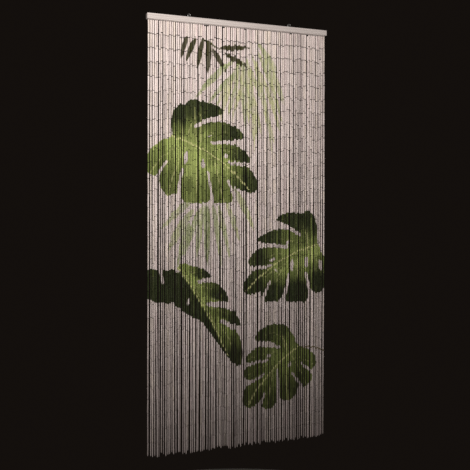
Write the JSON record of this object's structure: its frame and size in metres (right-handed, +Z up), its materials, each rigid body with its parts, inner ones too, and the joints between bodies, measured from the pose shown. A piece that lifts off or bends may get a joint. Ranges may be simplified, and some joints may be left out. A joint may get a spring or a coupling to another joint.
{
  "type": "bamboo door curtain",
  "caption": "Door curtain of painted bamboo tube strands with green leaf motifs, hung from a slim wooden batten with screw-eye rings.",
  "frame": {"origin": "middle of the batten's flat top face, in the line of the two screw eyes that hold the curtain up", "axes": "+Z up, +X along the batten to the right as seen from the front, -Y towards the viewer in front"},
  "size_m": [0.9, 0.026, 2.0122],
  "materials": {
    "painted_wood": "matt white paint over fine grain",
    "steel": "zinc plated wire",
    "painted_bamboo": "satin white paint on bamboo tubes, with green leaf motifs"
  },
  "bodies": {
    "root": {"header_batten": "painted_wood", "screw_eye_left": "steel", "screw_eye_right": "steel", "tube_strands": "painted_bamboo"}
  },
  "joints": []
}
